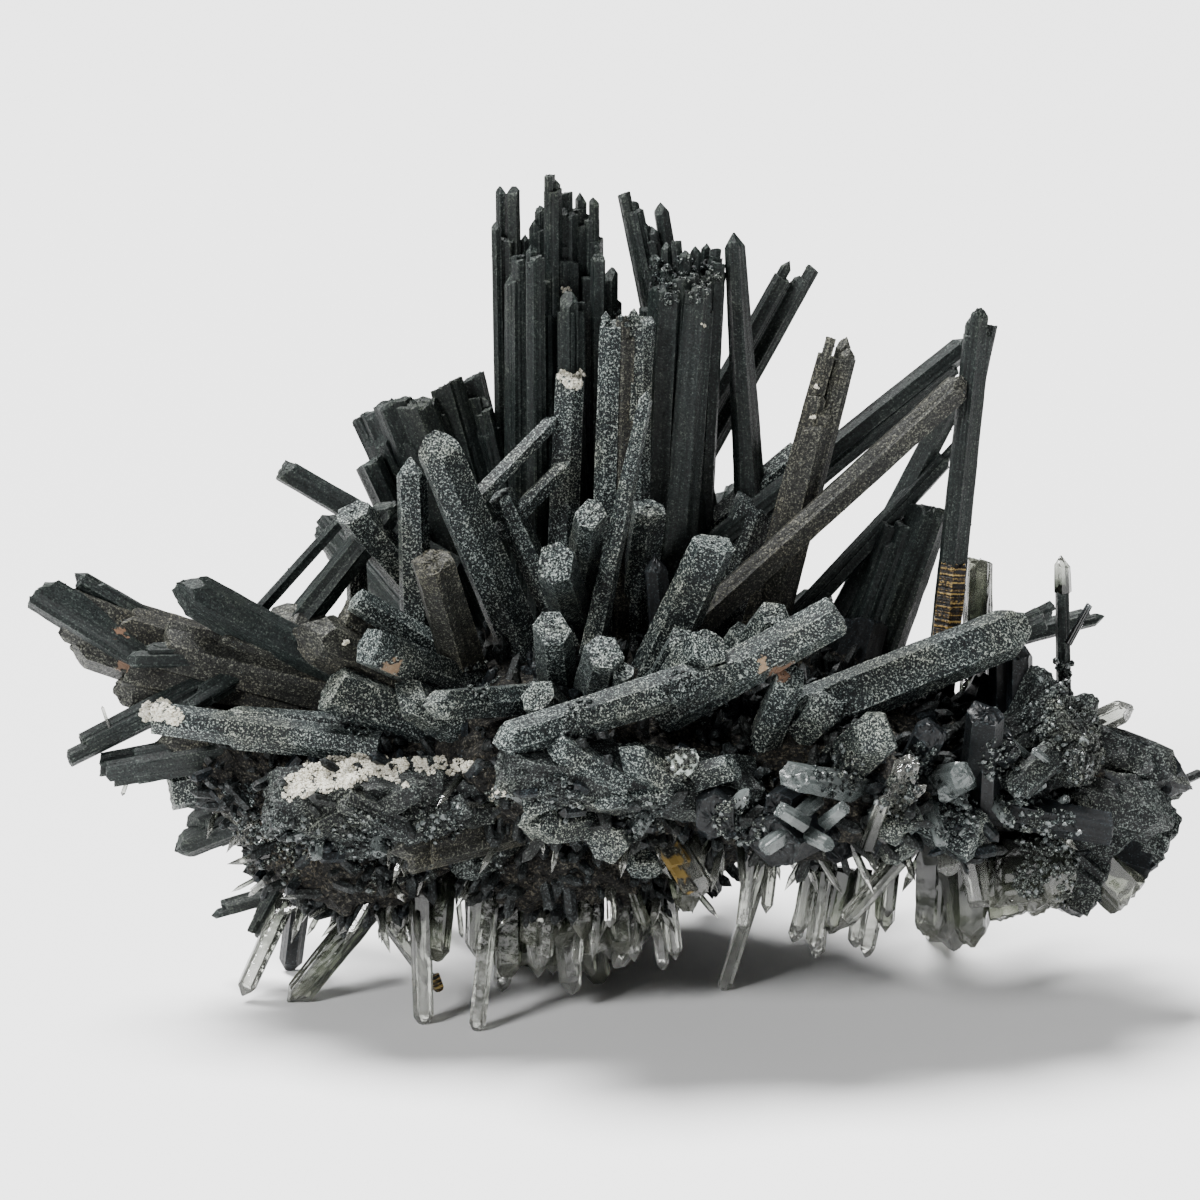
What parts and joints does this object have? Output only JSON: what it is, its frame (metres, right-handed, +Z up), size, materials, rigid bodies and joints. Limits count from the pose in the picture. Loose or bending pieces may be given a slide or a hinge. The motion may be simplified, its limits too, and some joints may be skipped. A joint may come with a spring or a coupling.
{
  "type": "chlorite quartz cluster",
  "caption": "Cluster of slim dark green chlorite quartz crystals fanning out of a lumpy matrix, with clear crystals below; a display mineral specimen.",
  "frame": {"origin": "on the resting surface, below the middle of the cluster's outline seen from above", "axes": "+Z up, +X to the right and +Y away from someone who looks at the front, where the long crystals fan out"},
  "size_m": [0.1172, 0.0668, 0.0831],
  "materials": {
    "chlorite_quartz": "rough",
    "matrix_rock": "rough",
    "clear_quartz": "gloss",
    "calcite_crust": "rough"
  },
  "bodies": {
    "root": {"chlorite_quartz_cluster": "chlorite_quartz"}
  },
  "joints": []
}
